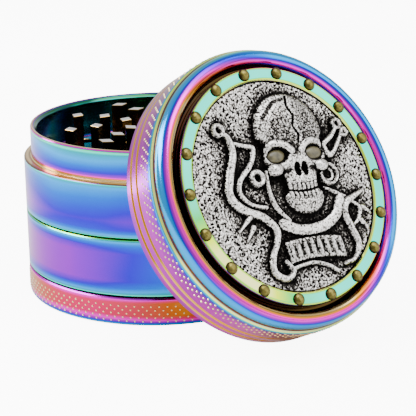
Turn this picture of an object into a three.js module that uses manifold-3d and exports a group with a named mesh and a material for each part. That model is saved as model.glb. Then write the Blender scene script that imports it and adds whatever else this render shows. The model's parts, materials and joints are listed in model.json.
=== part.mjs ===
// A four-piece herb grinder of cast zinc alloy, 63 mm across: a catcher, a screen chamber and a grinding
// chamber screw together in a stack, and a magnetic lid leans beside the stack, with its decorated top
// facing out. Millimetres, +Z up the stack, origin at the centre of the catcher's flat underside, +X
// towards the leaning lid.
import * as THREE from "three";
import { mergeVertices } from "three/addons/utils/BufferGeometryUtils.js";
import Module from "manifold-3d";

const wasm = await Module();
wasm.setup();

// ---- driving sizes ----------------------------------------------------------------------------------
const outerRadius = 31.5; // every piece of the stack, and the lid
const catcherHeight = 6.35; // visible height of each piece of the stack
const screenHeight = 13.1;
const grindHeight = 12.42;
const neckHeight = 7.1; // the part of the grinding chamber that the lid slides over
const neckWall = 1.5;
const ledgeWidth = 1.72; // the step that the lid's skirt sits on
const sleeveWall = 1.5; // wall of the catcher and of the screen chamber outside their threads
const catcherFloor = 1.6;
const grindFloor = 3;
const grindDepth = 9.1; // from the neck's rim down to the grinding floor
const seamGap = 0.3; // between stacked faces, and between pieces that touch
const edgeChamfer = 0.3;
const rimLip = 0.65; // width of the neck's flat rim

const threadPitch = 2;
const threadDepth = 0.8;
const threadRoot = 1; // width of a thread ridge at its foot
const threadCrest = 0.5; // width of a thread ridge at its top
const threadClearance = 0.35; // radial, between a ridge and the wall it faces
const spigotEndGap = 0.8; // below a screwed-in spigot
const spigotWall = 1.85;
const spigotThreadEnd = 0.75; // from a spigot's end, or from its seam, to the middle of its thread
const boreThreadEnd = 0.8; // from a bore's foot to the middle of its thread

const sieveShelf = 2; // how far the shelf under the sieve stands in from the pocket's wall
const sieveShelfThickness = 1.4;
const sieveShelfHeight = 2.35; // shelf's top above the screen chamber's lower edge
const sieveThickness = 0.3;
const sieveRingHeight = 1.2;
const sieveRingWidth = 1.65;
const sievePocketRoom = 0.6; // the sieve's pocket is this much wider, in radius, than the spigot's inside

const toothLength = 4.2; // along the ring that a tooth stands on
const toothGap = 0.3; // free width, in all, beside a tooth that passes between two rings
const toothTopDrop = 0.4; // chamber teeth end this far below the rim
const toothSink = 0.5; // teeth and posts run this far into the plate they stand on
const toothInnerRing = 8; // radius of the chamber's inner ring of teeth
const toothNeckRoom = 4.28; // neck's inner wall to the middle of the lid's outermost teeth
const holeOffset = 0.8; // the outer drop holes lie this far outside the lid's outermost teeth

const magnetRadius = 3.3;
const magnetThickness = 1.8;
const magnetBossWall = 1;
const chamberPostHeight = 6.5;
const lidBossHeight = 2.3;

const skirtClearance = 0.37; // between the neck and the lid's skirt
const lidHeadroom = 0.6; // between the neck's rim and the lid's plate when it is shut
const lidPlate = 3.3;
const lidSideHeight = 10.53; // skirt's open end up to the edge of the lid's top
const grooveHeights = [2.07, 4.36]; // centres of the two decorative grooves above the open end
const grooveDepth = 0.35;
const grooveHalfWidth = 0.37;
const topBevelHeight = 0.73;
const topBevelWidth = 0.67;
const rimTubeHeight = 3.5; // the raised round rim of the lid's top
const rimTubeBase = 0.37; // its foot above the top edge
const rimTubeWidth = 3.83;

const bezelRoom = 0.7; // between the raised rim and the bezel
const bezelWidth = 3.05;
const bezelHeight = 2.1;
const bezelChamfer = 0.35;
const rivetCount = 18;
const rivetRadius = 1.35;
const rivetStandOff = 0.65; // crown of a rivet's dome above its rim
const rivetStemRadius = 0.8;
const rivetSeatDepth = 0.9;
const rivetStart = 4.4; // degrees, from the lid's downhill axis
const rivetRingShift = 0.18; // outward from the middle of the bezel
const medallionThickness = 1.5;
const reliefHeight = 1.6;
const eyeHalfLength = 2.4;
const eyeHalfHeight = 1.5;
const eyeHalfDepth = 0.8;
const eyeStandOff = 0.25; // middle of an eye stone above the relief round it
const eyeCentres = [
  { name: "eye_insert_left", across: -0.33, up: 6.31 },
  { name: "eye_insert_right", across: 9.49, up: 5.44 },
];

const lidTilt = 61.32; // degrees between the stack's axis and the leaning lid's axis
const lidReach = 1.2; // how far the neck's rim reaches past the skirt's open end
const lidToothRest = 0.4; // between the neck's rim and the tips of the lid's teeth

const turned = 48; // facets round a turned piece
const threadFacets = 40; // facets in one turn of a thread
const postFacets = 24; // facets round a magnet and the post that holds it
const holeFacets = 12; // facets round a drop hole
const rivetFacets = 10; // facets round a rivet and its seat

// ---- sizes worked out from them ---------------------------------------------------------------------
const degrees = Math.PI / 180;
const screenBase = catcherHeight + seamGap;
const screenTop = screenBase + screenHeight;
const grindBase = screenTop + seamGap;
const ledge = grindBase + grindHeight;
const rim = ledge + neckHeight;
const grindFloorTop = rim - grindDepth;

const boreRadius = outerRadius - sleeveWall;
const boreCrest = boreRadius - threadDepth;
const spigotRadius = boreCrest - threadClearance;
const spigotInner = spigotRadius - spigotWall;
const spigotLength = screenBase - catcherFloor - spigotEndGap;

const neckRadius = outerRadius - ledgeWidth;
const neckInner = neckRadius - neckWall;
const skirtInner = neckRadius + skirtClearance;
const plateUnderside = neckHeight + lidHeadroom;
const recessFloor = plateUnderside + lidPlate;
const topEdgeRadius = outerRadius - topBevelWidth;
const recessRadius = topEdgeRadius - rimTubeWidth;
const bezelOuter = recessRadius - bezelRoom;
const bezelInner = bezelOuter - bezelWidth;

// Teeth stand on rings a step apart: three on the chamber's floor, and three on the lid halfway between.
const toothStep = (neckInner - toothNeckRoom - toothInnerRing) / 2.5;
const toothWidth = toothStep / 2 - toothGap;
const chamberTeeth = [
  { radius: toothInnerRing, count: 6, start: 34 },
  { radius: toothInnerRing + toothStep, count: 9, start: 5.5 },
  { radius: toothInnerRing + 2 * toothStep, count: 9, start: 11 },
];
const lidTeeth = [
  { radius: toothInnerRing + 0.5 * toothStep, count: 6, start: 0 },
  { radius: toothInnerRing + 1.5 * toothStep, count: 9, start: 12 },
  { radius: toothInnerRing + 2.5 * toothStep, count: 9, start: 30 },
];
const dropHoles = [
  { radius: lidTeeth[0].radius, count: 6, start: 4, hole: 1.7 },
  { radius: lidTeeth[1].radius, count: 9, start: 28, hole: 2.2 },
  { radius: lidTeeth[2].radius + holeOffset, count: 9, start: 31, hole: 2 },
];

// The lid stands on the chamfer of its skirt, and the neck's rim reaches a little way into its open end.
const tilt = lidTilt * degrees;
const lidLift = outerRadius * Math.sin(tilt) - edgeChamfer * Math.cos(tilt);
const lidDistance = neckRadius + ((rim - lidLift) * Math.cos(tilt) - lidReach) / Math.sin(tilt);
const lidToothInset = lidReach + lidToothRest;

const pocketRadius = magnetRadius + seamGap;
const bossRadius = pocketRadius + magnetBossWall;

// ---- solids -----------------------------------------------------------------------------------------
function toSolid(geometry) {
  const bare = geometry.clone();
  bare.deleteAttribute("normal");
  bare.deleteAttribute("uv");
  const merged = mergeVertices(bare, 1e-4);
  const mesh = new wasm.Mesh({
    numProp: 3,
    vertProperties: new Float32Array(merged.attributes.position.array),
    triVerts: new Uint32Array(merged.index.array),
  });
  return new wasm.Manifold(mesh);
}

function toGeometry(solid) {
  const mesh = solid.getMesh();
  const geometry = new THREE.BufferGeometry();
  geometry.setAttribute("position", new THREE.BufferAttribute(mesh.vertProperties, 3));
  geometry.setIndex(new THREE.BufferAttribute(mesh.triVerts, 1));
  geometry.computeVertexNormals();
  return geometry;
}

// A profile of [radius, height] corners, listed anticlockwise, turned about the Z axis. A profile that
// doesn't start on the axis is closed on itself.
function turn(corners, facets = turned) {
  const points = corners.map(([radius, height]) => new THREE.Vector2(radius, height));
  if (corners[0][0] > 0) points.push(points[0].clone());
  const geometry = new THREE.LatheGeometry(points, facets);
  geometry.rotateX(Math.PI / 2);
  return geometry;
}

function disc(radius, bottom, top, facets = turned) {
  return turn([[0, bottom], [radius, bottom], [radius, top], [0, top]], facets);
}

// One helical ridge of trapezoid section, from height "from" to height "to". Its foot is sunk "sink"
// into the wall at radius "wall", and its crest stands threadDepth off that wall, outward or inward.
function threadRidge({ wall, outward, from, to, startAngle }) {
  const side = outward ? 1 : -1;
  const sink = 0.3;
  const footWidth = threadRoot + ((threadRoot - threadCrest) * sink) / threadDepth;
  const section = [
    [wall - side * sink, -footWidth / 2],
    [wall + side * threadDepth, -threadCrest / 2],
    [wall + side * threadDepth, threadCrest / 2],
    [wall - side * sink, footWidth / 2],
  ];
  if (!outward) section.reverse();
  const turns = (to - from) / threadPitch;
  const steps = Math.ceil(turns * threadFacets);
  const positions = [];
  for (let step = 0; step <= steps; step++) {
    const along = (turns * step) / steps;
    const angle = startAngle + along * 2 * Math.PI;
    for (const [radius, height] of section) {
      positions.push(radius * Math.cos(angle), radius * Math.sin(angle), from + along * threadPitch + height);
    }
  }
  const faces = [];
  const corners = section.length;
  for (let step = 0; step < steps; step++) {
    for (let k = 0; k < corners; k++) {
      const a = step * corners + k;
      const b = step * corners + ((k + 1) % corners);
      faces.push(a, b, b + corners, a, b + corners, a + corners);
    }
  }
  const last = steps * corners;
  faces.push(0, 2, 1, 0, 3, 2, last, last + 1, last + 2, last, last + 2, last + 3);
  const geometry = new THREE.BufferGeometry();
  geometry.setAttribute("position", new THREE.BufferAttribute(new Float32Array(positions), 3));
  geometry.setIndex(faces.map((vertex, i, all) => all[3 * Math.floor(i / 3) + [0, 2, 1][i % 3]]));
  return toSolid(geometry);
}

// The thread on a spigot that hangs below "seam", and the one in the bore it screws into, half a pitch
// apart so that each ridge runs in the middle of the other's groove.
function spigotThread(seam) {
  const from = seam - spigotLength + spigotThreadEnd;
  const to = seam - seamGap - spigotThreadEnd;
  return threadRidge({ wall: spigotRadius, outward: true, from, to, startAngle: 0 });
}

function boreThread(seam) {
  const spigotFrom = seam - spigotLength + spigotThreadEnd;
  const from = seam - spigotLength - spigotEndGap + boreThreadEnd;
  const to = seam - seamGap - edgeChamfer - spigotThreadEnd;
  const startAngle = ((from - spigotFrom) / threadPitch - 0.5) * 2 * Math.PI;
  return threadRidge({ wall: boreRadius, outward: false, from, to, startAngle });
}

// Places spread evenly round the axis: each is { x, y, angle }, with the angle in radians.
function ringOf({ radius, count, start }) {
  return Array.from({ length: count }, (_, i) => {
    const angle = (start + (360 * i) / count) * degrees;
    return { x: radius * Math.cos(angle), y: radius * Math.sin(angle), angle };
  });
}

// Diamond teeth on rings, from height "bottom" to height "top", with their long diagonals along the ring.
function teeth(rings, bottom, top) {
  const outline = new THREE.Shape([
    new THREE.Vector2(toothWidth / 2, 0),
    new THREE.Vector2(0, toothLength / 2),
    new THREE.Vector2(-toothWidth / 2, 0),
    new THREE.Vector2(0, -toothLength / 2),
  ]);
  const tooth = new THREE.ExtrudeGeometry(outline, { depth: top - bottom, bevelEnabled: false });
  return rings.flatMap(ringOf).map(({ x, y, angle }) =>
    toSolid(tooth.clone().rotateZ(angle).translate(x, y, bottom)),
  );
}

function joined(first, others) {
  return others.reduce((sum, other) => sum.add(other), first);
}

function cut(first, others) {
  return others.reduce((rest, other) => rest.subtract(other), first);
}

// ---- finishes ---------------------------------------------------------------------------------------
const finish = {
  plating: (color) => new THREE.MeshStandardMaterial({ color, roughness: 0.16, metalness: 1 }),
  steel: () => new THREE.MeshStandardMaterial({ color: 0xb9bcc0, roughness: 0.35, metalness: 1 }),
  silver: () => new THREE.MeshStandardMaterial({ color: 0x9a9a98, roughness: 0.45, metalness: 1 }),
  brass: () => new THREE.MeshStandardMaterial({ color: 0x8a8558, roughness: 0.3, metalness: 1 }),
  magnet: () => new THREE.MeshStandardMaterial({ color: 0xc9cbd0, roughness: 0.2, metalness: 1 }),
  enamel: () => new THREE.MeshStandardMaterial({ color: 0x77765c, roughness: 0.25, metalness: 0.3 }),
};

const grinder = new THREE.Group();
grinder.name = "herb_grinder";

const leaningLid = new THREE.Group();
leaningLid.name = "leaning_lid";
leaningLid.rotation.y = tilt;
leaningLid.position.set(lidDistance, 0, lidLift);
grinder.add(leaningLid);

function addPiece(group, name, geometry, material) {
  const mesh = new THREE.Mesh(geometry, material);
  mesh.name = name;
  group.add(mesh);
}

// ---- catcher: a shallow threaded cup --------------------------------------------------------------
const catcherCup = toSolid(
  turn([
    [0, 0],
    [outerRadius - edgeChamfer, 0],
    [outerRadius, edgeChamfer],
    [outerRadius, catcherHeight - edgeChamfer],
    [outerRadius - edgeChamfer, catcherHeight],
    [boreRadius, catcherHeight],
    [boreRadius, catcherFloor],
    [0, catcherFloor],
  ]),
);
addPiece(
  grinder,
  "kief_catcher",
  toGeometry(catcherCup.add(boreThread(screenBase))),
  finish.plating(0xd8783c),
);

// ---- screen chamber: a tube with a bore above, a spigot below and a shelf for the sieve between ----
const shelfTop = screenBase + sieveShelfHeight;
const sievePocket = spigotInner + sievePocketRoom;
const shelfInner = sievePocket - sieveShelf;
const screenTube = toSolid(
  turn([
    [spigotInner, screenBase - spigotLength],
    [spigotRadius, screenBase - spigotLength],
    [spigotRadius, screenBase],
    [outerRadius - edgeChamfer, screenBase],
    [outerRadius, screenBase + edgeChamfer],
    [outerRadius, screenTop - edgeChamfer],
    [outerRadius - edgeChamfer, screenTop],
    [boreRadius, screenTop],
    [boreRadius, grindBase - spigotLength - spigotEndGap],
    [sievePocket, grindBase - spigotLength - spigotEndGap],
    [sievePocket, shelfTop],
    [shelfInner, shelfTop],
    [shelfInner, shelfTop - sieveShelfThickness],
    [spigotInner, shelfTop - sieveShelfThickness],
  ]),
);
addPiece(
  grinder,
  "screen_chamber",
  toGeometry(joined(screenTube, [spigotThread(screenBase), boreThread(grindBase)])),
  finish.plating(0xb74fd8),
);

// ---- sieve: a disc of wire cloth on the shelf, held down by a sprung ring ------------------------------
const sieveRadius = sievePocket - seamGap;
const sieveBottom = shelfTop + seamGap;
const sieveRingBottom = sieveBottom + sieveThickness + seamGap;
addPiece(
  grinder,
  "sieve_mesh",
  disc(sieveRadius, sieveBottom, sieveBottom + sieveThickness),
  finish.steel(),
);
addPiece(
  grinder,
  "sieve_ring",
  turn([
    [sieveRadius - sieveRingWidth, sieveRingBottom],
    [sieveRadius, sieveRingBottom],
    [sieveRadius, sieveRingBottom + sieveRingHeight],
    [sieveRadius - sieveRingWidth, sieveRingBottom + sieveRingHeight],
  ]),
  finish.steel(),
);

// ---- grinding chamber: neck, floor with teeth and drop holes, magnet post and spigot -------------------
const grindCup = toSolid(
  turn([
    [0, grindFloorTop - grindFloor],
    [spigotInner, grindFloorTop - grindFloor],
    [spigotInner, grindBase - spigotLength],
    [spigotRadius, grindBase - spigotLength],
    [spigotRadius, grindBase],
    [outerRadius - edgeChamfer, grindBase],
    [outerRadius, grindBase + edgeChamfer],
    [outerRadius, ledge - edgeChamfer],
    [outerRadius - edgeChamfer, ledge],
    [neckRadius, ledge],
    [neckRadius, rim - edgeChamfer],
    [neckRadius - edgeChamfer / 2, rim],
    [neckRadius - rimLip, rim],
    [neckInner, rim - (neckWall - rimLip)],
    [neckInner, grindFloorTop],
    [0, grindFloorTop],
  ]),
);
const grindPostTop = grindFloorTop + chamberPostHeight;
const grindPost = toSolid(disc(bossRadius, grindFloorTop - toothSink, grindPostTop, postFacets));
const grindPocket = toSolid(
  disc(pocketRadius, grindPostTop - magnetThickness - seamGap, grindPostTop + 1, postFacets),
);
const holeCutters = dropHoles.flatMap((ring) =>
  ringOf(ring).map(({ x, y }) =>
    toSolid(disc(ring.hole, grindFloorTop - grindFloor - 1, grindFloorTop + 1, holeFacets).translate(x, y, 0)),
  ),
);
const grindTeeth = teeth(chamberTeeth, grindFloorTop - toothSink, rim - toothTopDrop);
const grindBody = joined(cut(grindCup, holeCutters), [...grindTeeth, grindPost, spigotThread(grindBase)]);
addPiece(
  grinder,
  "grinding_chamber",
  toGeometry(grindBody.subtract(grindPocket)),
  finish.plating(0x3b6fe0),
);
addPiece(
  grinder,
  "chamber_magnet",
  disc(magnetRadius, grindPostTop - magnetThickness, grindPostTop, postFacets),
  finish.magnet(),
);

// ---- lid shell: skirt with two grooves, raised round rim, recess above and teeth below -----------------
const grooveCorners = grooveHeights.flatMap((height) => [
  [outerRadius, height - grooveHalfWidth],
  [outerRadius - grooveDepth, height],
  [outerRadius, height + grooveHalfWidth],
]);
const rimTubeFoot = lidSideHeight + rimTubeBase;
const rimTubeCentre = (topEdgeRadius + recessRadius) / 2;
const rimTubeHalf = (topEdgeRadius - recessRadius) / 2;
const rimTubeSteps = 8; // facets over the rim, the last of which is the recess's upright wall
const rimTubeCorners = Array.from({ length: rimTubeSteps }, (_, i) => {
  const angle = (Math.PI * i) / rimTubeSteps;
  return [
    rimTubeCentre + rimTubeHalf * Math.cos(angle),
    rimTubeFoot + rimTubeHeight * Math.sin(angle),
  ];
});
const lidCup = toSolid(
  turn([
    [0, plateUnderside],
    [skirtInner, plateUnderside],
    [skirtInner, edgeChamfer],
    [skirtInner + edgeChamfer, 0],
    [outerRadius - edgeChamfer, 0],
    [outerRadius, edgeChamfer],
    ...grooveCorners,
    [outerRadius, lidSideHeight - topBevelHeight],
    [topEdgeRadius, lidSideHeight],
    ...rimTubeCorners,
    [recessRadius, recessFloor],
    [0, recessFloor],
  ]),
);
const lidBossBottom = plateUnderside - lidBossHeight;
const lidBoss = toSolid(disc(bossRadius, lidBossBottom, plateUnderside + toothSink, postFacets));
const lidPocket = toSolid(
  disc(pocketRadius, lidBossBottom - 1, lidBossBottom + magnetThickness + seamGap, postFacets),
);
const lidPegs = teeth(lidTeeth, lidToothInset, plateUnderside + toothSink);
addPiece(
  leaningLid,
  "lid_shell",
  toGeometry(joined(lidCup, [...lidPegs, lidBoss]).subtract(lidPocket)),
  finish.plating(0xc463c8),
);
addPiece(
  leaningLid,
  "lid_magnet",
  disc(magnetRadius, lidBossBottom, lidBossBottom + magnetThickness, postFacets),
  finish.magnet(),
);

// ---- bezel ring, with a round seat for each rivet ------------------------------------------------------
const bezelBottom = recessFloor + seamGap;
const bezelTop = bezelBottom + bezelHeight;
const rivetRingRadius = (bezelOuter + bezelInner) / 2 + rivetRingShift;
const rivetRing = { radius: rivetRingRadius, count: rivetCount, start: rivetStart };
const bezelBlank = toSolid(
  turn([
    [bezelInner, bezelBottom],
    [bezelOuter, bezelBottom],
    [bezelOuter, bezelTop - bezelChamfer],
    [bezelOuter - bezelChamfer, bezelTop],
    [bezelInner + bezelChamfer, bezelTop],
    [bezelInner, bezelTop - bezelChamfer],
  ]),
);
const rivetSeatFloor = bezelTop - rivetSeatDepth - seamGap;
const rivetSeats = ringOf(rivetRing).map(({ x, y }) =>
  toSolid(
    disc(rivetStemRadius + seamGap, rivetSeatFloor, bezelTop + 1, rivetFacets).translate(x, y, 0),
  ),
);
addPiece(leaningLid, "bezel_ring", toGeometry(cut(bezelBlank, rivetSeats)), finish.plating(0x7fe8cf));

// ---- rivets: a domed head over the bezel, on a short stem in its seat ----------------------------------
const rivetHeadBottom = bezelTop + seamGap / 2;
const rivetGeometry = turn(
  [
    [0, bezelTop - rivetSeatDepth],
    [rivetStemRadius, bezelTop - rivetSeatDepth],
    [rivetStemRadius, rivetHeadBottom],
    [rivetRadius, rivetHeadBottom],
    [rivetRadius * 0.8, rivetHeadBottom + rivetStandOff * 0.6],
    [0, rivetHeadBottom + rivetStandOff],
  ],
  rivetFacets,
);
ringOf(rivetRing).forEach(({ x, y }, i) => {
  const name = "rivet_" + String(i + 1).padStart(2, "0");
  addPiece(leaningLid, name, rivetGeometry.clone().translate(x, y, 0), finish.brass());
});

// ---- medallion: a cast disc with a low relief, and two inlaid eyes -------------------------------------
// Relief height over the disc: a round skull vault and a jaw below it, on an oval fall-off. "across" runs
// sideways on the lid's face, and "up" towards its highest point.
const medallionRadius = bezelInner - seamGap;
const medallionBottom = recessFloor + seamGap;
const medallionTop = medallionBottom + medallionThickness;
function mound(across, up, centreAcross, centreUp, halfWidth, halfHeight) {
  const a = (across - centreAcross) / halfWidth;
  const b = (up - centreUp) / halfHeight;
  return Math.sqrt(Math.max(0, 1 - a * a - b * b));
}
function relief(across, up) {
  const vault = mound(across, up, 3.6, 7.6, 10.5, 9.5);
  const jaw = 0.75 * mound(across, up, 4.2, -3.6, 6.6, 7.4);
  return reliefHeight * Math.max(vault, jaw);
}
const reliefRings = 12;
const reliefSpokes = 44;
function medallionGeometry() {
  const positions = [0, 0, medallionTop + relief(0, 0)];
  const faces = [];
  for (let ring = 1; ring <= reliefRings; ring++) {
    const radius = (medallionRadius * ring) / reliefRings;
    for (let spoke = 0; spoke < reliefSpokes; spoke++) {
      const angle = (2 * Math.PI * spoke) / reliefSpokes;
      const x = radius * Math.cos(angle);
      const y = radius * Math.sin(angle);
      positions.push(x, y, medallionTop + relief(y, -x));
    }
  }
  for (let spoke = 0; spoke < reliefSpokes; spoke++) {
    const angle = (2 * Math.PI * spoke) / reliefSpokes;
    positions.push(medallionRadius * Math.cos(angle), medallionRadius * Math.sin(angle), medallionBottom);
  }
  const bottomCentre = positions.length / 3;
  positions.push(0, 0, medallionBottom);
  const at = (ring, spoke) => 1 + (ring - 1) * reliefSpokes + (spoke % reliefSpokes);
  for (let spoke = 0; spoke < reliefSpokes; spoke++) {
    faces.push(0, at(1, spoke), at(1, spoke + 1));
    for (let ring = 1; ring <= reliefRings; ring++) {
      const [a, b] = [at(ring, spoke), at(ring, spoke + 1)];
      const [c, d] = [at(ring + 1, spoke), at(ring + 1, spoke + 1)];
      faces.push(a, c, d, a, d, b);
    }
    faces.push(bottomCentre, at(reliefRings + 1, spoke + 1), at(reliefRings + 1, spoke));
  }
  const geometry = new THREE.BufferGeometry();
  geometry.setAttribute("position", new THREE.BufferAttribute(new Float32Array(positions), 3));
  geometry.setIndex(faces);
  return geometry;
}

// An eye is a flattened oval stone, sunk into a socket that follows its outline.
function eyeStone({ across, up }, grow) {
  const stone = new THREE.SphereGeometry(1, 14, 8);
  stone.scale(eyeHalfHeight + grow, eyeHalfLength + grow, eyeHalfDepth + grow);
  return stone.translate(-up, across, medallionTop + relief(across, up) + eyeStandOff);
}
const sockets = eyeCentres.map((eye) => toSolid(eyeStone(eye, seamGap)));
addPiece(
  leaningLid,
  "medallion",
  toGeometry(cut(toSolid(medallionGeometry()), sockets)),
  finish.silver(),
);
for (const eye of eyeCentres) {
  addPiece(leaningLid, eye.name, eyeStone(eye, 0), finish.enamel());
}

export default grinder;
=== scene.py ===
"""A four-piece herb grinder of rainbow-plated zinc alloy: catcher, screen chamber and grinding chamber
screwed together in a stack, and a magnetic lid with a silver medallion leaning beside it. The lid and the
stack are turned pieces, so most shapes here are a profile carried round an axis. Lengths are millimetres
until a piece's mesh is filled."""

import json

import bmesh
import bpy
import numpy as np
from mathutils import Matrix, Vector


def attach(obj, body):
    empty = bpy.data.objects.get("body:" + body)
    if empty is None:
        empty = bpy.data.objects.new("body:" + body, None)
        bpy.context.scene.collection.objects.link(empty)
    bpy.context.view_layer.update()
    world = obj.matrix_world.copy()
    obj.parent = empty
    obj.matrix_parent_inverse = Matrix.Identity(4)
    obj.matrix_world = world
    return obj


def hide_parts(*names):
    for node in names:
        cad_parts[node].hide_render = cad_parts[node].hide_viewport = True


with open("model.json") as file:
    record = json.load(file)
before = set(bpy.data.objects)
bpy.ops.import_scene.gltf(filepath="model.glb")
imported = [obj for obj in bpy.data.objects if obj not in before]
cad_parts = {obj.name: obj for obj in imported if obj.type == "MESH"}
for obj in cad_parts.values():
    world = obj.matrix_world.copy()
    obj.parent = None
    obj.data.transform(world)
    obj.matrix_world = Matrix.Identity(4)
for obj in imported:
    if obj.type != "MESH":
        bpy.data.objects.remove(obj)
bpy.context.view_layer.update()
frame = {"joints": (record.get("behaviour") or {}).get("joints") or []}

# ---- catcher ---------------------------------------------------------------------------------------------
# The shallow cup at the bottom of the stack, which keeps the fine powder. Die-cast zinc alloy, turned,
# then knurled with five rows of small bumps and plated in rainbow colours; a screw thread holds it.


def linear(hex_colour):
    """sRGB hex to linear: a channel over 0.04045 is ((c + 0.055) / 1.055) to the power 2.4."""
    c = np.array([int(hex_colour[i : i + 2], 16) / 255 for i in (1, 3, 5)])
    c = np.where(c <= 0.04045, c / 12.92, ((c + 0.055) / 1.055) ** 2.4)
    return (*c.tolist(), 1.0)


def node(tree, kind, links=None, **settings):
    """Adds one node, sets its properties and inputs by name or number, and links other sockets into it."""
    made = tree.nodes.new("ShaderNode" + kind)
    for key, value in settings.items():
        setattr(made, key, value)
    for key, value in (links or {}).items():
        if isinstance(value, bpy.types.NodeSocket):
            tree.links.new(value, made.inputs[key])
        else:
            made.inputs[key].default_value = value
    return made


def material(name):
    """A material without nodes, and its node tree."""
    fresh = bpy.data.materials.new(name)
    fresh.use_nodes = True
    fresh.node_tree.nodes.clear()
    return fresh, fresh.node_tree


def ramp(tree, factor, stops):
    """A colour ramp whose stops are (place, hex colour)."""
    made = node(tree, "ValToRGB", {0: factor})
    band = made.color_ramp
    while len(band.elements) > 1:
        band.elements.remove(band.elements[-1])
    band.elements[0].position = stops[0][0]
    band.elements[0].color = linear(stops[0][1])
    for place, colour in stops[1:]:
        band.elements.new(place).color = linear(colour)
    return made.outputs[0]


# Thin oxide film over nickel-plated zinc: the film's thickness decides the colour, in the fixed order of
# interference colours, and it reads as a coloured mirror with soft edges between the hues.
FILM_COLOURS = [
    (0.00, "#fff3c0"),
    (0.07, "#dd9a08"),
    (0.14, "#d0601a"),
    (0.22, "#e2285e"),
    (0.31, "#f410d8"),
    (0.37, "#a826b4"),
    (0.43, "#8004c8"),
    (0.51, "#2c04c4"),
    (0.60, "#0060d0"),
    (0.69, "#0098e4"),
    (0.77, "#00949c"),
    (0.83, "#06ecd0"),
    (0.89, "#3cc860"),
    (0.945, "#d6ee10"),
    (1.00, "#fff3c0"),
]


def rainbow_plating():
    """The plating's material: film picks the hue, shade is painted shade that darkens it, along carries the
    turning marks.
    """
    rainbow, tree = material("rainbow_plated_zinc")
    place = node(tree, "TexCoord").outputs["Object"]
    film = node(tree, "Attribute", attribute_name="film").outputs["Fac"]
    shade = node(tree, "Attribute", attribute_name="shade").outputs["Fac"]
    along = node(tree, "Attribute", attribute_name="along").outputs["Fac"]
    # the film wanders a little over some 20 mm, as a plating bath leaves it
    wander = node(tree, "TexNoise", {"Vector": place, "Scale": 50.0, "Detail": 2.0}).outputs["Fac"]
    wander = node(tree, "MapRange", {0: wander, 1: 0.3, 2: 0.7, 3: -0.014, 4: 0.014}).outputs[0]
    film = node(tree, "Math", {0: film, 1: wander}, operation="ADD").outputs[0]
    hue = ramp(tree, film, FILM_COLOURS)
    # painted shade: the shade mark mixes the hue toward dark olive in recesses, bores, holes, grooves and
    # crevices
    hue = node(tree, "MixRGB", {0: shade, 1: hue, 2: linear("#1d1b12")}).outputs[0]
    # turning marks every 0.3 mm or so, drawn coarser than the real ones so that they show at all
    marks = node(tree, "TexNoise", {"W": along, "Scale": 3.2, "Detail": 3.0}, noise_dimensions="1D")
    marks = marks.outputs["Fac"]
    rough = node(tree, "MapRange", {0: marks, 1: 0.3, 2: 0.7, 3: 0.13, 4: 0.2}).outputs[0]
    bump = node(tree, "Bump", {"Height": marks, "Strength": 0.03, "Distance": 0.0002}).outputs[0]
    shader = node(
        tree,
        "BsdfPrincipled",
        {"Base Color": hue, "Metallic": 1.0, "Roughness": rough, "Normal": bump},
    )
    node(tree, "OutputMaterial", {0: shader.outputs[0]})
    return rainbow


rainbow = rainbow_plating()


def bands(rows, around):
    """Faces between rows of points that close on themselves: (row, j), (row, j + 1), (row + 1, j + 1) and
    (row + 1, j), which face outwards when the rows rise and turn anticlockwise."""
    k = np.arange(rows - 1)[:, None] * around
    j = np.arange(around)[None, :]
    n = (j + 1) % around
    return np.stack([k + j, k + n, k + n + around, k + j + around], -1).reshape(-1, 4)


def shape(points, *faces, film=0.0, shade=0.0, along=0.0):
    """Points, blocks of faces, and the plating's three marks, each as one value or one for every point."""
    points = points.reshape(-1, 3)
    marks = {"film": film, "shade": shade, "along": along}
    return {
        "points": points,
        "faces": [face for block in faces for face in block.reshape(-1, block.shape[-1]).tolist()],
        **{key: np.zeros(len(points)) + np.ravel(value) for key, value in marks.items()},
    }


LEVEL = ([0], [0])  # a sway or painted shade sway that changes nothing


def turned(rows, spokes=360, sway=LEVEL, painted_shade_sway=LEVEL):
    """A profile carried round the Z axis. Row = (radius, height, film, share, shade); point (row, spoke) =
    (radius cos angle, radius sin angle, height). Shade is painted shade. Film and shade gain share x sway
    and share x painted shade sway, which are given as angles in degrees and values."""
    rows = np.array(rows, float)
    degrees = np.arange(spokes) * 360 / spokes
    angle = np.radians(degrees)
    radius, height, film, share, shade = (rows[:, k, None] for k in range(5))
    flat = np.ones((1, spokes))
    walk = np.concatenate([[0], np.cumsum(np.hypot(np.diff(rows[:, 0]), np.diff(rows[:, 1])))])
    return shape(
        np.stack([radius * np.cos(angle), radius * np.sin(angle), height * flat], -1),
        bands(len(rows), spokes),
        film=film + share * np.interp(degrees, *sway, period=360),
        shade=np.clip(shade + share * np.interp(degrees, *painted_shade_sway, period=360), 0, 1),
        along=walk[:, None] * flat,
    )


def helix(wall, depth, start, end, turn_from, film, shade=0.3, pitch=2.0, foot=1.0, crest=0.5):
    """A thread ridge: a trapezoid, foot wide on the wall and crest wide at its top, carried up a helix.
    It rises out of the wall over the first 30 degrees and sinks back over the last 30. A negative depth
    is a ridge that stands inward."""
    steps = int(72 * (end - start) / pitch)
    t = np.linspace(0, 1, steps + 1)[:, None]
    angle = turn_from + t * (end - start) / pitch * 2 * np.pi
    rise = np.clip(np.minimum(t, 1 - t) * steps / 6, 0, 1) * depth
    sunk = -0.2 * np.sign(depth) + 0 * t
    radius = wall + np.concatenate([sunk, rise, rise, sunk], 1)
    height = start + t * (end - start) + np.array([[-foot, -crest, crest, foot]]) / 2
    points = np.stack([radius * np.cos(angle), radius * np.sin(angle), height], -1)
    ends = np.array([[0, 1, 2, 3], [steps * 4 + c for c in (3, 2, 1, 0)]])
    faces = np.concatenate([bands(steps + 1, 4)[:, ::-1], ends])
    # the thread carries painted shade, as it lies inside a joint
    return shape(points, faces if depth > 0 else faces[:, ::-1], film=film, shade=shade)


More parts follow.
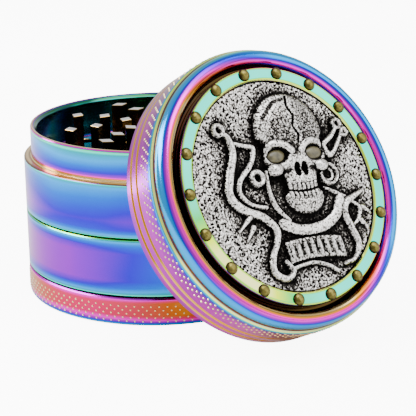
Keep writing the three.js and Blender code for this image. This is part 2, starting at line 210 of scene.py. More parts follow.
def knurl(rows, radius, size, height, film):
    """Rows of small domes standing on a round wall. Row = (height on the wall, how many, start angle);
    a dome is a point at its top, a ring of six at 0.65 of its size and 0.7 of its height, and its foot."""
    places = np.concatenate(
        [np.stack([np.full(n, z), np.arange(n) * 360 / n + first], -1) for z, n, first in rows]
    )
    z, angle = places[:, 0, None], np.radians(places[:, 1, None])
    spin = np.radians(np.arange(6) * 60)
    across = size * np.concatenate([np.cos(spin), 0.65 * np.cos(spin), [0]])
    up = size * np.concatenate([np.sin(spin), 0.65 * np.sin(spin), [0]])
    out = np.concatenate([np.full(6, -0.06), np.full(6, 0.7 * height), [height]])
    r = radius + out
    x, y = r * np.cos(angle) - across * np.sin(angle), r * np.sin(angle) + across * np.cos(angle)
    k = np.arange(6)
    tips = np.stack([k + 6, (k + 1) % 6 + 6, np.full(6, 12)], -1)
    base = np.arange(len(places))[:, None, None] * 13
    return shape(np.stack([x, y, z + up + 0 * angle], -1), base + bands(2, 6), base + tips, film=film)


def piece(name, shapes, finish, place=None, sharp=30.0):
    """One object from several shapes: their points are put together in metres, moved by place, welded
    where they meet, and smoothed except over edges sharper than the given angle."""
    mesh = bpy.data.meshes.new(name)
    points = np.concatenate([s["points"] for s in shapes]) / 1000
    if place is not None:
        points = points @ place[:3, :3].T + place[:3, 3]
    first, faces = 0, []
    for s in shapes:
        faces += [[first + v for v in f] for f in s["faces"]]
        first += len(s["points"])
    mesh.from_pydata(points, [], faces)
    for key in ("film", "shade", "along"):
        values = np.concatenate([s[key] for s in shapes]).astype(np.float32)
        mesh.attributes.new(key, "FLOAT", "POINT").data.foreach_set("value", values)
    weld = bmesh.new()
    weld.from_mesh(mesh)
    bmesh.ops.remove_doubles(weld, verts=weld.verts, dist=2e-6)
    weld.to_mesh(mesh)
    weld.free()
    mesh.shade_smooth()
    mesh.set_sharp_from_angle(angle=np.radians(sharp))
    mesh.materials.append(finish)
    made = bpy.data.objects.new(name, mesh)
    bpy.context.scene.collection.objects.link(made)
    return made


def fit(made, body, slot, *nodes):
    """The piece rides on a CAD body and stands for CAD nodes, which it hides; the slot is not used."""
    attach(made, body)
    if nodes:
        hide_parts(*nodes)


SIDE = 31.5  # outer radius of the stack and of the lid
EDGE = 0.3  # how far a turned corner is eased
THREAD = 0.8  # how far a thread stands out of its wall
BORE, SPIGOT, SPIGOT_INSIDE = 30.0, 28.85, 27.0  # radii of the screwed joints
CATCHER_TOP, CATCHER_FLOOR = 6.35, 1.6
BORE_START = -1.75 * np.pi  # angle at which a bore's thread begins
# How the film's thickness sways round each piece: angles about the stack, in degrees, and film.
CATCHER_SWAY = (
    [-155, -120, -110, -92, -80, -63, -46, -35, -25, 0, 40, 80, 130, 170],
    [-0.06, -0.13, -0.12, -0.07, -0.03, -0.02, -0.06, -0.11, -0.15, -0.12, 0.02, 0.05, -0.05, 0.02],
)
# The shade column is painted shade on the underside, down the bore and over the floor inside; it also darkens
# the middle of the side a little.
catcher_profile = [
    (0, 0, 0.06, 0, 0.25),
    (SIDE - EDGE, 0, 0.10, 0, 0.25),
    (31.36, 0.06, 0.78, 0, 0.1),
    (SIDE, EDGE, 0.72, 0, 0),
    (SIDE, 0.55, 0.58, 0.2, 0),
    (SIDE, 0.85, 0.44, 0.4, 0),
    (SIDE, 1.3, 0.35, 0.7, 0),
    (SIDE, 2.3, 0.25, 1, 0.12),
    (SIDE, 5.2, 0.24, 1, 0.12),
    (SIDE, 5.8, 0.29, 0.6, 0),
    (SIDE, CATCHER_TOP - EDGE, 0.34, 0, 0),
    (SIDE - EDGE, CATCHER_TOP, 0.38, 0, 0.1),
    (BORE, CATCHER_TOP, 0.06, 0, 0.3),
    (BORE, CATCHER_FLOOR, 0.12, 0, 0.45),
    (28.0, CATCHER_FLOOR, 0.05, 0, 0.2),
    (0, CATCHER_FLOOR, 0.08, 0, 0.15),
]
catcher = piece(
    "catcher_cup",
    [
        turned(catcher_profile, sway=CATCHER_SWAY),
        helix(BORE, -THREAD, 2.4, 5.3, BORE_START, 0.06),
    ],
    rainbow,
)
fit(catcher, "kief_catcher", "catcher_plating", "kief_catcher")
CATCHER_BUMPS = [(1.05 + 0.865 * row, 108, row * 360 / 108 / 2) for row in range(5)]
bumps = piece("catcher_knurl", [knurl(CATCHER_BUMPS, SIDE, 0.3, 0.17, 0.02)], rainbow)
fit(bumps, "kief_catcher", "catcher_plating")

# ---- screen chamber --------------------------------------------------------------------------------------
# The tall middle ring, which holds ground herb over the sieve. Turned and plated as the catcher is; its
# spigot screws into the catcher, and a step inside carries the sieve.
SCREEN_SWAY = (
    [-155, -120, -108, -92, -76, -63, -46, -35, -15, 10, 50, 90, 130, 170],
    [0.04, -0.04, -0.02, 0.0, 0.0, 0.04, 0.10, 0.14, 0.17, 0.12, -0.04, -0.08, 0.02, 0.1],
)
# The shade column is painted shade on the spigot and down the inside walls and steps.
screen_profile = [
    (SPIGOT_INSIDE, 2.4, 0.1, 0, 0.3),
    (SPIGOT - 0.2, 2.4, 0.1, 0, 0.3),
    (SPIGOT, 2.6, 0.1, 0, 0.3),
    (SPIGOT, 6.65, 0.1, 0, 0.3),
    (SIDE - EDGE, 6.65, 0.92, 0, 0.1),
    (SIDE, 6.95, 0.86, 0, 0),
    (SIDE, 7.25, 0.76, 0.05, 0),
    (SIDE, 7.75, 0.66, 0.3, 0),
    (SIDE, 8.7, 0.50, 0.8, 0),
    (SIDE, 10.2, 0.41, 1, 0),
    (SIDE, 16.6, 0.41, 1, 0),
    (SIDE, 18.0, 0.47, 0.9, 0),
    (SIDE, 18.9, 0.60, 0.4, 0),
    (SIDE, 19.45, 0.74, 0, 0),
    (SIDE - EDGE, 19.75, 0.93, 0, 0),
    (BORE, 19.75, 0.06, 0, 0.3),
    (BORE, 15.0, 0.1, 0, 0.4),
    (27.6, 15.0, 0.05, 0, 0.3),
    (27.6, 9.0, 0.1, 0, 0.4),
    (25.6, 9.0, 0.05, 0, 0.3),
    (25.6, 7.6, 0.05, 0, 0.3),
    (SPIGOT_INSIDE, 7.6, 0.1, 0, 0.4),
    (SPIGOT_INSIDE, 2.4, 0.1, 0, 0.3),
]
screen = piece(
    "screen_sleeve",
    [
        turned(screen_profile, sway=SCREEN_SWAY),
        helix(SPIGOT, THREAD, 3.15, 5.6, 0.0, 0.06),
        helix(BORE, -THREAD, 15.8, 18.7, BORE_START, 0.06),
    ],
    rainbow,
)
fit(screen, "screen_chamber", "screen_chamber_plating", "screen_chamber")

# ---- sieve -----------------------------------------------------------------------------------------------
# A round of plain-woven stainless steel wire cloth on the step in the screen chamber, held down by a flat
# sprung steel ring. The real cloth has about four wires a millimetre; it is drawn at one.
bright_steel, tree = material("drawn_stainless_wire")
place = node(tree, "TexCoord").outputs["Object"]
grime = node(tree, "TexNoise", {"Vector": place, "Scale": 220.0, "Detail": 3.0}).outputs["Fac"]
tone = ramp(tree, grime, [(0.3, "#8f9296"), (0.65, "#c9ccd0")])
rough = node(tree, "MapRange", {0: grime, 1: 0.3, 2: 0.7, 3: 0.42, 4: 0.28}).outputs[0]
shader = node(
    tree, "BsdfPrincipled", {"Base Color": tone, "Metallic": 1.0, "Roughness": rough}
)
node(tree, "OutputMaterial", {0: shader.outputs[0]})


def wire_cloth(radius, height, pitch, wire):
    """Wires both ways in a disc: each is a square tube whose middle rises and falls as a sine, half a
    pitch out of step with its neighbour, height = wire x sin(pi x / pitch + pi i)."""
    shapes = []
    lines = np.arange(-int(radius / pitch), int(radius / pitch) + 1) * pitch
    for way in (0, 1):
        for i, line in enumerate(lines):
            half = np.sqrt(max(radius**2 - line**2, 0))
            if half < pitch:
                continue
            x = np.linspace(-half, half, int(half * 4 / pitch) + 2)
            z = height + wire * 0.5 * np.cos(np.pi * (x / pitch + i + way))
            ring = np.array([[1, 1], [-1, 1], [-1, -1], [1, -1]]) * wire * 0.42
            run = np.repeat(x[:, None], 4, 1)
            side = line + ring[None, :, 0] + 0 * run
            rise = z[:, None] + ring[None, :, 1]
            points = np.stack([run, side, rise] if way == 0 else [side, run, rise], -1)
            last = len(x) * 4 - 4
            caps = np.array([[3, 2, 1, 0], [last, last + 1, last + 2, last + 3]])
            walls = np.concatenate([bands(len(x), 4), caps])
            shapes.append(shape(points, walls if way == 0 else walls[:, ::-1]))
    return shapes


cloth = piece("sieve_wire_cloth", wire_cloth(27.2, 9.45, 1.0, 0.14), bright_steel, sharp=100)
fit(cloth, "sieve_carrier", "sieve_steel", "sieve_mesh")
spring_profile = [
    (25.75, 9.9, 0, 0, 0),
    (27.2, 9.9, 0, 0, 0),
    (27.3, 10.0, 0, 0, 0),
    (27.3, 11.0, 0, 0, 0),
    (27.2, 11.1, 0, 0, 0),
    (25.75, 11.1, 0, 0, 0),
    (25.65, 11.0, 0, 0, 0),
    (25.65, 10.0, 0, 0, 0),
    (25.75, 9.9, 0, 0, 0),
]
spring = piece("sieve_spring_ring", [turned(spring_profile, spokes=240)], bright_steel)
fit(spring, "sieve_carrier", "sieve_steel", "sieve_ring")

# ---- grinding chamber ------------------------------------------------------------------------------------
# The top of the stack: a plated cup with a neck for the lid, a floor with 24 diamond teeth and 24 round
# drop holes, and a post that holds the magnet. The tooth tops are drawn pale grey, a painted reflection.
GRIND_SWAY = (
    [-155, -125, -112, -98, -84, -63, -50, -35, -15, 10, 50, 90, 130, 170],
    [-0.06, -0.17, -0.10, -0.05, -0.01, 0.0, -0.02, -0.03, -0.1, -0.14, -0.06, 0.02, 0.05, 0.0],
)
FLOOR_TOP, FLOOR_UNDER, RIM, LEDGE = 30.47, 27.47, 39.57, 32.47  # heights
NECK, NECK_INSIDE, POST, POCKET, POST_TOP = 29.78, 28.28, 4.6, 3.6, 36.97
HOLE_BANDS = [  # inner and outer radius of the band, ring radius, how many, start angle, hole radius
    (9.0, 13.4, 11.2, 6, 4, 1.7),
    (15.2, 20.0, 17.6, 9, 28, 2.2),
    (22.3, 27.0, 24.8, 9, 31, 2.0),
]


def pierced(inner, outer, ring, count, start, hole, top, under, film):
    """A flat band with round holes: each hole has a cell of the band, and the surface runs from the
    cell's edge on the underside in to the hole, up its wall and out to the cell's edge on top."""
    degrees, steps = 360 // count, 4
    t, s = np.arange(degrees), np.arange(steps)
    half = degrees / 2
    turn = np.concatenate([t - half, np.full(steps, half), half - t, np.full(steps, -half)])
    step = (outer - inner) / steps
    reach = np.concatenate(
        [np.full(degrees, inner), inner + s * step, np.full(degrees, outer), outer - s * step]
    )
    facing = np.arctan2(turn / half, (reach - ring) / (outer - inner) * 2)
    edge = np.stack([reach * np.cos(np.radians(turn)), reach * np.sin(np.radians(turn))], -1)
    rim = np.array([[ring, 0]]) + hole * np.stack([np.cos(facing), np.sin(facing)], -1)
    soft = np.array([[ring, 0]]) + (hole + 0.18) * np.stack([np.cos(facing), np.sin(facing)], -1)
    layers = [
        (edge, under),
        (soft, under),
        (rim, under + 0.18),
        (rim, top - 0.18),
        (soft, top),
        (0.5 * edge + 0.5 * soft, top),
        (edge, top),
    ]
    cell = np.stack([np.column_stack([xy, np.full(len(xy), z)]) for xy, z in layers])
    spin = np.radians(start + np.arange(count) * degrees)
    c, n = np.cos(spin)[:, None, None], np.sin(spin)[:, None, None]
    x, y, z = cell[None, ..., 0], cell[None, ..., 1], cell[None, ..., 2]
    points = np.stack([x * c - y * n, x * n + y * c, z + 0 * c], -1)
    around, deep = len(turn), len(layers)
    cells = np.arange(count)[:, None, None] * around * deep
    # painted shade: darkest down the hole walls, lighter on the underside and fading out across the top
    shade = np.array([0.4, 0.4, 0.7, 0.6, 0.3, 0.12, 0.1])[None, :, None] + 0 * points[..., 0]
    return shape(points, cells + bands(deep, around), film=film, shade=shade)


# Inside the neck the plating is darkened with painted shade, and the teal, blue and olive streaks round its
# wall are painted reflections: the film sways for their hue and the painted shade sways for their dark.
INSIDE_PAINTED_REFLECTION = (
    [-170, -162, -152, -140, -125, -90, -50, -10, 30, 60, 100, 135, 152, 166, 178],
    [0.74, 0.58, 0.74, 0.58, 0.66, 0.86, 0.60, 0.78, 0.88, 0.60, 0.72, 0.64, 0.80, 0.70, 0.66],
)
INSIDE_PAINTED_SHADE = (
    [-179, -176, -171, -166, -155, -140, 90, 150, 176],
    [0.1, -0.1, -0.3, 0.1, 0.06, -0.1, 0.0, 0.05, 0.0],
)
grind_shapes = [
    # the floor's underside, under painted shade
    turned([(0, FLOOR_UNDER, 0.05, 0, 0.4), (9.0, FLOOR_UNDER, 0.05, 0, 0.4)]),
    turned([(13.4, FLOOR_UNDER, 0.05, 0, 0.4), (15.2, FLOOR_UNDER, 0.05, 0, 0.4)]),
    turned([(20.0, FLOOR_UNDER, 0.05, 0, 0.4), (22.3, FLOOR_UNDER, 0.05, 0, 0.4)]),
    turned(
        [
            (27.0, FLOOR_UNDER, 0.1, 0, 0.5),
            (27.0, 15.8, 0.1, 0, 0.4),
            (SPIGOT - 0.2, 15.8, 0.1, 0, 0.3),
            (SPIGOT, 16.0, 0.1, 0, 0.3),
            (SPIGOT, 20.05, 0.1, 0, 0.3),
            (SIDE - EDGE, 20.05, 0.93, 0, 0),
            (SIDE, 20.35, 0.82, 0, 0),
            (SIDE, 20.6, 0.72, 0.1, 0),
            (SIDE, 21.2, 0.62, 0.5, 0),
            (SIDE, 22.0, 0.53, 0.8, 0),
            (SIDE, 24.0, 0.50, 1, 0),
            (SIDE, 26.5, 0.545, 1, 0),
            (SIDE, 29.0, 0.61, 1, 0),
            (SIDE, 31.0, 0.67, 0.9, 0),
            (SIDE, 31.8, 0.74, 0.4, 0),
            (SIDE, 32.17, 0.84, 0, 0),
            # the ledge: dark lines of painted shadow at its outer edge and part way across it, with cream
            # between, a painted reflection
            (31.42, 32.3, 0.06, 0, 0.75),
            (SIDE - EDGE, LEDGE, 0.05, 0, 0.7),
            (31.0, LEDGE, 0.04, 0, 0.1),
            (30.6, LEDGE, 0.03, 0, 0),
            (30.2, LEDGE, 0.06, 0, 0.55),
            (30.05, LEDGE, 0.06, 0, 0.6),
            (29.9, LEDGE, 0.03, 0, 0),
            (NECK, LEDGE + 0.1, 0.02, 0, 0),
            (NECK, 32.8, 0.03, 0, 0),
            (NECK, 33.0, 0.09, 0, 0),
            (NECK, 33.2, 0.30, 0, 0),
            (NECK, 33.55, 0.42, 0.3, 0),
            (NECK, 34.2, 0.52, 0.7, 0),
            (NECK, 35.6, 0.62, 1, 0),
            (NECK, 37.0, 0.70, 1, 0),
            (NECK, 38.3, 0.765, 1, 0),
            (NECK, 38.85, 0.83, 0.3, 0),
            (NECK, 39.1, 0.90, 0, 0),
            # the lip: cream along its top edge, a painted highlight
            (29.76, 39.27, 0.33, 0, 0),
            (29.68, 39.45, 0.31, 0, 0),
            (29.5, 39.55, 0.0, 0, 0),
            (29.3, RIM, 0.0, 0, 0),
        ],
        sway=GRIND_SWAY,
    ),
    turned(
        [
            (29.3, RIM, 0.0, 0, 0),
            (29.13, 39.53, 0.3, 0, 0.3),
            (28.75, 39.25, 0.9, 0, 0.88),
            (NECK_INSIDE, 38.72, 0.3, 0.7, 0.74),
            (NECK_INSIDE, 37.0, 0, 1, 0.62),
            (NECK_INSIDE, 33.0, 0, 1, 0.5),
            (NECK_INSIDE, 31.0, 0, 1, 0.4),
            (28.1, 30.6, 0.3, 0.3, 0.5),
            (27.9, FLOOR_TOP, 0.04, 0, 0.25),
            (27.0, FLOOR_TOP, 0.04, 0, 0.2),
        ],
        sway=INSIDE_PAINTED_REFLECTION,
        painted_shade_sway=INSIDE_PAINTED_SHADE,
    ),
    turned([(22.3, FLOOR_TOP, 0.04, 0, 0.1), (20.0, FLOOR_TOP, 0.04, 0, 0.1)]),
    turned([(15.2, FLOOR_TOP, 0.04, 0, 0.1), (13.4, FLOOR_TOP, 0.04, 0, 0.1)]),
    turned(
        [
            (9.0, FLOOR_TOP, 0.04, 0, 0.1),
            (4.8, FLOOR_TOP, 0.05, 0, 0.2),
            # the post's side and the magnet's pocket, darkened with painted shade
            (POST, 30.7, 0.08, 0, 0.6),
            (POST, POST_TOP - 0.2, 0.08, 0, 0.6),
            (4.4, POST_TOP, 0.0, 0, 0),
            (3.75, POST_TOP, 0.0, 0, 0),
            (POCKET, 36.8, 0.05, 0, 0.6),
            (POCKET, 34.87, 0.05, 0, 0.8),
            (0, 34.87, 0.05, 0, 0.8),
        ]
    ),
    helix(SPIGOT, THREAD, 16.55, 19.0, 0.0, 0.06),
] + [
    pierced(a, b, ring, n, start, hole, FLOOR_TOP, FLOOR_UNDER, 0.04)
    for a, b, ring, n, start, hole in HOLE_BANDS
]
grinder_cup = piece("grinding_cup", grind_shapes, rainbow)
fit(grinder_cup, "grinding_chamber", "grinding_chamber_plating", "grinding_chamber")

# Tooth tops: the plating drawn pale grey, a painted reflection, with fine marks 0.4 mm apart and a soft
# sheen.
painted_reflection_zinc, tree = material("tooth_tops_painted_reflection")
place = node(tree, "TexCoord").outputs["Object"]
marks = node(tree, "TexWave", {"Vector": place, "Scale": 800.0, "Distortion": 1.5}).outputs["Fac"]
tone = ramp(tree, marks, [(0.0, "#d9d4d4"), (1.0, "#f6f2f2")])
shader = node(tree, "BsdfPrincipled", {"Base Color": tone, "Metallic": 1.0, "Roughness": 0.3})
node(tree, "OutputMaterial", {0: shader.outputs[0]})


def diamonds(rings, foot, top, long=4.2, wide=2.9, edge=0.12):
    """Teeth standing on rings: a diamond with its long diagonal along the ring, carried from foot to top
    and drawn in by the edge width at the top. Ring = (radius, how many, start angle)."""
    corners = np.array([[wide, 0], [0, long], [-wide, 0], [0, -long]]) / 2
    rise = 1 if top > foot else -1
    levels = [(1.0, foot), (1.0, top - rise * edge), (1 - 2 * edge / wide, top)]
    levels += [((1 - 2 * edge / wide) * 0.5, top), (0.0, top)]
    tooth = np.stack([np.column_stack([corners * g, np.full(4, z)]) for g, z in levels])
    spin = np.concatenate([np.radians(a + np.arange(n) * 360 / n) for _, n, a in rings])
    reach = np.concatenate([np.full(n, r) for r, n, _ in rings])[:, None, None]
    c, s = np.cos(spin)[:, None, None], np.sin(spin)[:, None, None]
    x, y, z = tooth[None, ..., 0] + reach, tooth[None, ..., 1] + 0 * reach, tooth[None, ..., 2]
    points = np.stack([x * c - y * s, x * s + y * c, z + 0 * c], -1)
    faces = bands(len(levels), 4)
    faces = faces if rise > 0 else faces[:, ::-1]
    base = np.arange(len(spin))[:, None, None] * 4 * len(levels)
    # the tooth sides are darkened with painted shade, and the tops left pale cream, a painted reflection
    film = np.array([0.08, 0.06, 0.02, 0.0, 0.0])[None, :, None] + 0 * x
    shade = np.array([0.82, 0.9, 0.0, 0.0, 0.0])[None, :, None] + 0 * x
    return shape(points, base + faces, film=film, shade=shade)


CHAMBER_TEETH = [(8.0, 6, 34), (14.4, 9, 5.5), (20.8, 9, 11)]  # ring radius, how many, start angle
TOOTH_TOP = 39.17
teeth = piece("grinding_teeth", [diamonds(CHAMBER_TEETH, FLOOR_TOP - 0.3, TOOTH_TOP)], rainbow, sharp=20)
teeth.data.materials.append(painted_reflection_zinc)
# the flat tops take the pale material, a painted reflection
heights = np.array([f.center[2] for f in teeth.data.polygons])
painted_reflection_tops = heights * 1000 > TOOTH_TOP - 0.03
teeth.data.polygons.foreach_set("material_index", painted_reflection_tops.astype(int))
fit(teeth, "grinding_chamber", "grinding_chamber_plating")

# ---- magnets ---------------------------------------------------------------------------------------------
# Two neodymium discs, one in the post of the chamber and one under the lid, nickel plated against rust
# and glued in; a ground face with soft edges.
nickel, tree = material("nickel_plated_magnet")
place = node(tree, "TexCoord").outputs["Object"]
haze = node(tree, "TexNoise", {"Vector": place, "Scale": 900.0, "Detail": 4.0}).outputs["Fac"]
tone = ramp(tree, haze, [(0.35, "#a9aab0"), (0.6, "#d3d4d8")])
rough = node(tree, "MapRange", {0: haze, 1: 0.3, 2: 0.7, 3: 0.16, 4: 0.32}).outputs[0]
shader = node(tree, "BsdfPrincipled", {"Base Color": tone, "Metallic": 1.0, "Roughness": rough})
node(tree, "OutputMaterial", {0: shader.outputs[0]})


def magnet(radius, low, high, edge=0.25):
    """A disc from low to high, whose two edges are quarter circles of the edge radius."""
    quarter = np.linspace(0, np.pi / 2, 5)
    lower = [(radius - edge + edge * np.sin(a), low + edge - edge * np.cos(a)) for a in quarter]
    upper = [(r, low + high - z) for r, z in lower[::-1]]
    return turned([(r, z, 0, 0, 0) for r, z in [(0, low), *lower, *upper, (0, high)]], spokes=72)


MAGNET, MAGNET_THICK = 3.3, 1.8
post_magnet = magnet(MAGNET, POST_TOP - MAGNET_THICK, POST_TOP)
chamber_magnet = piece("chamber_magnet_disc", [post_magnet], nickel)
fit(chamber_magnet, "chamber_magnet", "magnet_nickel", "chamber_magnet")

# ---- lid -------------------------------------------------------------------------------------------------
# A deep plated cap that leans on the stack: plain lip, two turned grooves, four rows of knurled bumps, a
# raised round rim, and 24 teeth inside. All of it is drawn upright and then laid over on the lid's axis.
lid_turn = next(j for j in frame["joints"] if j["name"] == "lid_turn")
out = Vector(lid_turn["axis"]).normalized()
side = Vector((0, 1, 0))
down = side.cross(out)
leaning = np.array(
    [[*(axis[i] for axis in (down, side, out)), lid_turn["pos_m"][i]] for i in range(3)] + [[0, 0, 0, 1]]
)
BOSS_END, LID_PLATE = 5.4, 7.7  # heights of the boss's end and of the plate's underside
lid_magnet = piece("lid_magnet_disc", [magnet(MAGNET, BOSS_END, BOSS_END + MAGNET_THICK)], nickel, leaning)
fit(lid_magnet, "lid_magnet", "magnet_nickel", "lid_magnet")

LID_SWAY = (
    [0, 20, 45, 90, 130, 180, 205, 225, 250, 270, 300, 325, 345],
    [-0.2, -0.23, -0.22, -0.10, 0.02, 0.03, 0.0, -0.02, 0.0, 0.0, -0.01, -0.08, -0.16],
)
# Painted shade round the lid's side: darker toward its bottom, where it rests on the floor, and toward its
# top.
LID_PAINTED_SHADE = (
    [0, 20, 50, 90, 150, 190, 215, 235, 262, 285, 310, 340],
    [0.6, 0.6, 0.4, 0.1, 0.2, 0.6, 0.6, 0.3, 0.1, 0.28, 0.38, 0.48],
)
GROOVES = [2.07, 4.36]
SKIRT_INSIDE = 30.15
LID_TEETH = [(11.2, 6, 0), (17.6, 9, 12), (24.0, 9, 30)]  # ring radius, how many, start angle


def groove(height):
    """Rows of a V-shaped groove: its gold lip, a bottom darkened with painted shade, and its cream lip."""
    half, deep, lip = 0.38, 0.35, 0.12
    return [
        (SIDE, height - half - lip, 0.36, 1, 0),
        (SIDE, height - half, 0.06, 0, 0),
        (SIDE - deep, height, 0.07, 0, 0.35),
        (SIDE, height + half, 0.02, 0, 0),
        (SIDE, height + half + lip, 0.36, 1, 0),
    ]


# The raised rim is half an ellipse. Its film runs one way round most of the lid and another down the
# side that faces away from the stack, and the far share says how much of the second there is.
RIM_MID, RIM_WIDE, RIM_FOOT, RIM_TALL = 28.915, 1.915, 10.9, 2.4
RIM_OUTER, RIM_INNER = RIM_MID + RIM_WIDE, RIM_MID - RIM_WIDE
FAR_SHARE = ([15, 55, 165, 222], [0, 1, 1, 0])


def rim(film_at, shade_at):
    """Rows of the rim: angle a along the ellipse from its outer foot to its inner one, at (middle + wide
    cos a, foot + tall sin a), with film and shade read off at that angle in degrees."""
    along_rim = np.linspace(0, 180, 49)
    a = np.radians(along_rim)
    radius, height = RIM_MID + RIM_WIDE * np.cos(a), RIM_FOOT + RIM_TALL * np.sin(a)
    film, shade = np.interp(along_rim, *film_at), np.interp(along_rim, *shade_at)
    return turned(np.stack([radius, height, film, 1 + 0 * a, shade], -1))


# Along the rim, shade is painted shade at its outer foot and down its inner slope into the recess, broken by
# a thin cream painted highlight line; the far side drops the painted shade.
lid_rim = rim(
    (
        [0, 22, 44, 58, 72, 84, 95, 106, 116, 180],
        [0.76, 0.70, 0.66, 0.42, 0.31, 0.28, 0.07, 0.04, 0.02, 0.06],
    ),
    (
        [0, 4, 9, 84, 94, 103, 108, 113, 118, 126, 180],
        [0.8, 0.1, 0, 0, 0.25, 0.88, 0.5, 0.2, 0.85, 0.95, 0.97],
    ),
)
rim_far = rim(([0, 44, 58, 96, 112, 124, 180], [0.90, 0.90, 0.72, 0.70, 0.50, 0.31, 0.31]), ([0], [0]))
far = np.tile(np.interp(np.arange(360), *FAR_SHARE, period=360), len(lid_rim["film"]) // 360)
for key in ("film", "shade"):
    lid_rim[key] = lid_rim[key] * (1 - far) + rim_far[key] * far
# The shade column is painted shade inside the skirt and under the plate, and in the dark crevice at the rim's
# foot.
cap_profile = [
    (0, LID_PLATE, 0.05, 0, 0.3),
    (SKIRT_INSIDE - 0.25, LID_PLATE, 0.05, 0, 0.35),
    (SKIRT_INSIDE, LID_PLATE - 0.25, 0.1, 0, 0.5),
    (SKIRT_INSIDE, EDGE, 0.1, 0, 0.4),
    (SKIRT_INSIDE + EDGE, 0, 0.3, 0, 0.1),
    (SIDE - EDGE, 0, 0.44, 0, 0),
    (SIDE, EDGE, 0.39, 1, 0),
    (SIDE, 1.2, 0.36, 1, 0),
    *groove(GROOVES[0]),
    (SIDE, 3.2, 0.355, 1, 0),
    *groove(GROOVES[1]),
    (SIDE, 6.2, 0.355, 1, 0),
    (SIDE, 8.3, 0.39, 1, 0),
    (SIDE, 8.9, 0.46, 0.7, 0),
    (SIDE, 9.4, 0.6, 0.2, 0),
    (SIDE, 9.8, 0.7, 0, 0),
    (31.3, 10.02, 0.98, 0, 0),
    (31.05, 10.3, 0.95, 0, 0),
    (30.95, 10.42, 0.06, 0, 0.8),
    (RIM_OUTER, 10.53, 0.06, 0, 0.85),
    (RIM_OUTER, RIM_FOOT, 0.06, 0, 0.85),
]
lid_shapes = [
    turned(cap_profile, sway=LID_SWAY, painted_shade_sway=LID_PAINTED_SHADE),
    lid_rim,
    # the floor of the recess, darkened with painted shade
    turned(
        [
            (RIM_INNER, RIM_FOOT, 0.06, 0, 0.95),
            (RIM_INNER, 11.2, 0.06, 0, 0.95),
            (26.8, 11.0, 0.06, 0, 0.95),
            (0, 11.0, 0.06, 0, 0.9),
        ]
    ),
    # the boss: painted shade down its side and in the magnet's pocket
    turned(
        [
            (POCKET, LID_PLATE, 0.05, 0, 0.8),
            (POCKET, BOSS_END + 0.1, 0.05, 0, 0.5),
            (3.75, BOSS_END, 0.0, 0, 0),
            (4.4, BOSS_END, 0.0, 0, 0),
            (POST, BOSS_END + 0.2, 0.06, 0, 0.3),
            (POST, LID_PLATE + 0.1, 0.06, 0, 0.4),
        ],
        spokes=96,
    ),
    diamonds(LID_TEETH, LID_PLATE + 0.2, 1.6),
]
lid = piece("lid_cap", lid_shapes, rainbow, leaning)
fit(lid, "lid", "lid_plating", "lid_shell")
LID_BUMPS = [(6.6, 100, 0.0), (7.4, 100, 1.3), (8.2, 100, 2.6), (9.0, 100, 3.9)]
lid_bumps = piece("lid_knurl", [knurl(LID_BUMPS, SIDE, 0.29, 0.17, 0.03)], rainbow, leaning)
fit(lid_bumps, "lid", "lid_plating")

# ---- bezel and rivets ------------------------------------------------------------------------------------
# A flat plated ring glued in the lid's recess frames the medallion; eighteen domed blackened brass rivets,
# with painted shade round their foot, are pressed into it.
BEZEL_IN, BEZEL_OUT, BEZEL_TOP, SEAT = 23.25, 26.3, 13.4, 11.3
# The film sways to pale cream from about 270 to 345 degrees, toward the lid's bottom: a painted reflection.
BEZEL_PAINTED_REFLECTION = (
    [0, 60, 120, 180, 240, 270, 295, 325, 345],
    [0.0, -0.015, 0.0, 0.0, 0.0, 0.03, 0.15, 0.15, 0.03],
)
# The shade column is painted shade on the seat and walls, with a dark line of it under the top's outer
# chamfer.
bezel_profile = [
    (BEZEL_IN, SEAT, 0.1, 0, 0.8),
    (BEZEL_OUT, SEAT, 0.1, 0, 0.8),
    (BEZEL_OUT, 12.5, 0.7, 0, 0.3),
    (BEZEL_OUT, 12.95, 0.0, 0, 0),
    (26.24, 13.12, 0.1, 0, 0.8),
    (26.1, 13.28, 0.93, 0, 0.5),
    (25.98, 13.38, 0.95, 0, 0),
    (25.85, BEZEL_TOP, 0.88, 0, 0),
    (25.6, BEZEL_TOP, 0.83, 1, 0),
    (23.95, BEZEL_TOP, 0.83, 1, 0),
    (23.7, BEZEL_TOP, 0.90, 0, 0),
    (23.55, 13.36, 0.95, 0, 0),
    (23.3, 13.1, 0.97, 0, 0.2),
    (BEZEL_IN, 13.0, 0.1, 0, 0.8),
    (BEZEL_IN, SEAT, 0.1, 0, 0.8),
]
bezel = piece("bezel_frame", [turned(bezel_profile, sway=BEZEL_PAINTED_REFLECTION)], rainbow, leaning)
fit(bezel, "lid", "bezel_plating", "bezel_ring")

# Brass blackened with sulphide: olive-gold domes, with painted shade darkening the crevice at their foot.
brass, tree = material("blackened_brass_painted_shade")
place = node(tree, "TexCoord").outputs["Object"]
painted_crevice_shade = node(tree, "Attribute", attribute_name="shade").outputs["Fac"]
spots = node(tree, "TexNoise", {"Vector": place, "Scale": 1400.0, "Detail": 3.0}).outputs["Fac"]
tone = ramp(tree, spots, [(0.3, "#4f471c"), (0.6, "#83793f")])
tone = node(tree, "MixRGB", {0: painted_crevice_shade, 1: tone, 2: linear("#100e06")}).outputs[0]
shader = node(tree, "BsdfPrincipled", {"Base Color": tone, "Metallic": 1.0, "Roughness": 0.27})
node(tree, "OutputMaterial", {0: shader.outputs[0]})

